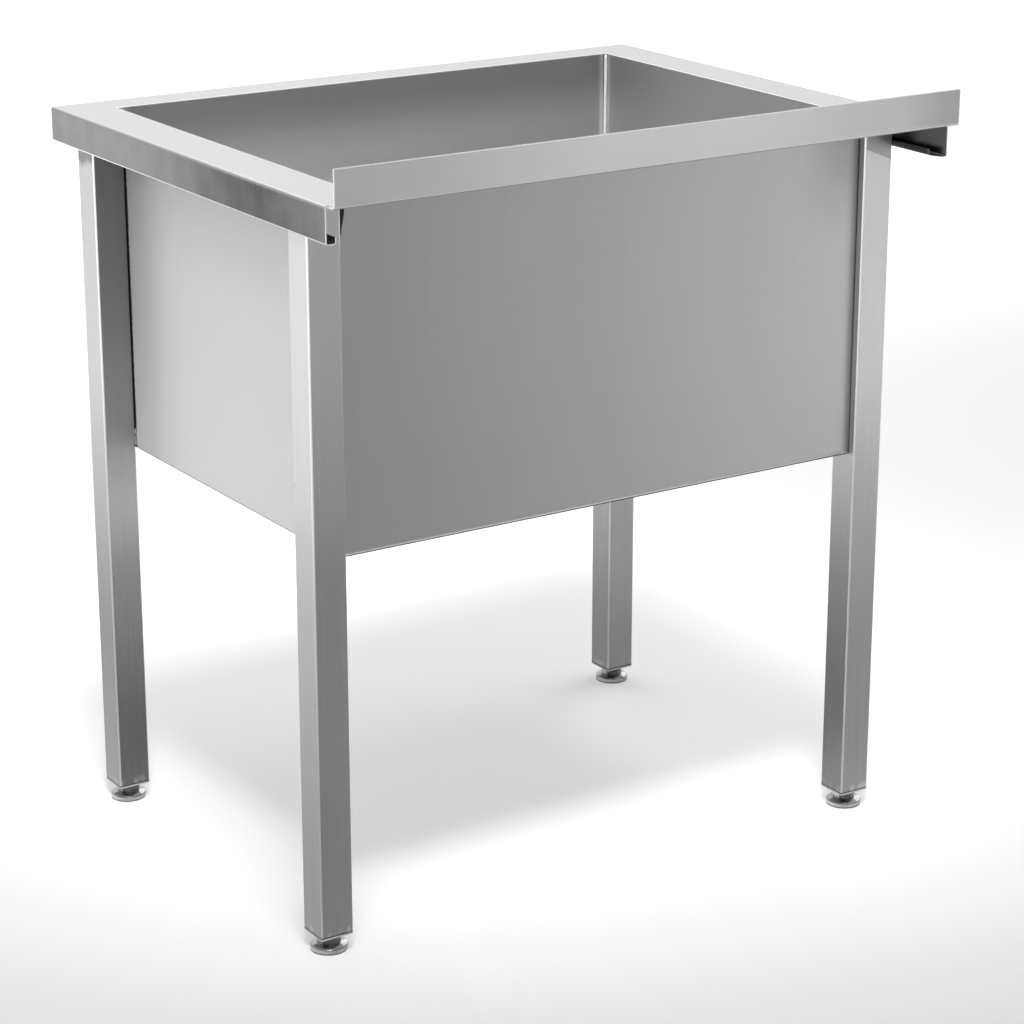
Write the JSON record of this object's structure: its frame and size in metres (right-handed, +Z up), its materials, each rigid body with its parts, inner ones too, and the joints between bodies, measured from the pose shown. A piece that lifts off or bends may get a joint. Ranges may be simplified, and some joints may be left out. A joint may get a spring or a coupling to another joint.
{
  "type": "utility laundry sink",
  "caption": "Free-standing utility wash sink: a deep rectangular bowl in a folded steel deck with a rear upstand, on square tube legs with levelling feet, and a waste with a lift-out stopper.",
  "frame": {"origin": "on the floor, under the middle of the deck", "axes": "+X along the sink's length, -Y towards the user, +Y towards the wall, +Z up"},
  "size_m": [0.8, 0.65, 0.89],
  "materials": {
    "deck_steel": "satin grain along each fold",
    "bowl_steel": "fine satin",
    "leg_steel": "satin grain along the tube",
    "foot_steel": "plated",
    "insert_plastic": "moulded",
    "polished_steel": "polished",
    "rubber": "matt",
    "waste_plastic": "moulded"
  },
  "bodies": {
    "frame": {"deck": "deck_steel", "bowl_shell": "bowl_steel", "bowl_end_left": "bowl_steel", "bowl_end_right": "bowl_steel", "leg_front_left": "leg_steel", "leg_front_right": "leg_steel", "leg_back_left": "leg_steel", "leg_back_right": "leg_steel", "leg_insert_front_left": "insert_plastic", "leg_insert_front_right": "insert_plastic", "leg_insert_back_left": "insert_plastic", "leg_insert_back_right": "insert_plastic", "waste_flange": "polished_steel", "waste_gasket_upper": "rubber", "waste_gasket_lower": "rubber", "waste_body": "waste_plastic", "waste_screw": "polished_steel"},
    "foot_base_front_left": {"foot_base_front_left": "foot_steel"},
    "foot_stem_front_left": {"foot_stem_front_left": "foot_steel"},
    "foot_base_front_right": {"foot_base_front_right": "foot_steel"},
    "foot_stem_front_right": {"foot_stem_front_right": "foot_steel"},
    "foot_base_back_left": {"foot_base_back_left": "foot_steel"},
    "foot_stem_back_left": {"foot_stem_back_left": "foot_steel"},
    "foot_base_back_right": {"foot_base_back_right": "foot_steel"},
    "foot_stem_back_right": {"foot_stem_back_right": "foot_steel"},
    "stopper": {"stopper": "rubber", "stopper_ring": "polished_steel"}
  },
  "joints": [
    {"name": "foot_height_front_left", "type": "slide", "parent": "frame", "child": "foot_base_front_left", "axis": [0, 0, -1], "range_m": [0, 0.025]},
    {"name": "foot_turn_front_left", "type": "hinge", "parent": "foot_base_front_left", "child": "foot_stem_front_left", "pos_m": [-0.3614, -0.28, 0], "axis": [0, 0, -1], "range_deg": [0, 6000]},
    {"name": "foot_height_front_right", "type": "slide", "parent": "frame", "child": "foot_base_front_right", "axis": [0, 0, -1], "range_m": [0, 0.025]},
    {"name": "foot_turn_front_right", "type": "hinge", "parent": "foot_base_front_right", "child": "foot_stem_front_right", "pos_m": [0.3614, -0.28, 0], "axis": [0, 0, -1], "range_deg": [0, 6000]},
    {"name": "foot_height_back_left", "type": "slide", "parent": "frame", "child": "foot_base_back_left", "axis": [0, 0, -1], "range_m": [0, 0.025]},
    {"name": "foot_turn_back_left", "type": "hinge", "parent": "foot_base_back_left", "child": "foot_stem_back_left", "pos_m": [-0.3614, 0.215, 0], "axis": [0, 0, -1], "range_deg": [0, 6000]},
    {"name": "foot_height_back_right", "type": "slide", "parent": "frame", "child": "foot_base_back_right", "axis": [0, 0, -1], "range_m": [0, 0.025]},
    {"name": "foot_turn_back_right", "type": "hinge", "parent": "foot_base_back_right", "child": "foot_stem_back_right", "pos_m": [0.3614, 0.215, 0], "axis": [0, 0, -1], "range_deg": [0, 6000]},
    {"name": "stopper_lift", "type": "slide", "parent": "frame", "child": "stopper", "axis": [0, 0, 1], "range_m": [0, 0.15]}
  ],
  "couplings": [
    {"joint": "foot_turn_front_left", "follows": "foot_height_front_left", "rad_per_m": 4188.8},
    {"joint": "foot_turn_front_right", "follows": "foot_height_front_right", "rad_per_m": 4188.8},
    {"joint": "foot_turn_back_left", "follows": "foot_height_back_left", "rad_per_m": 4188.8},
    {"joint": "foot_turn_back_right", "follows": "foot_height_back_right", "rad_per_m": 4188.8}
  ]
}
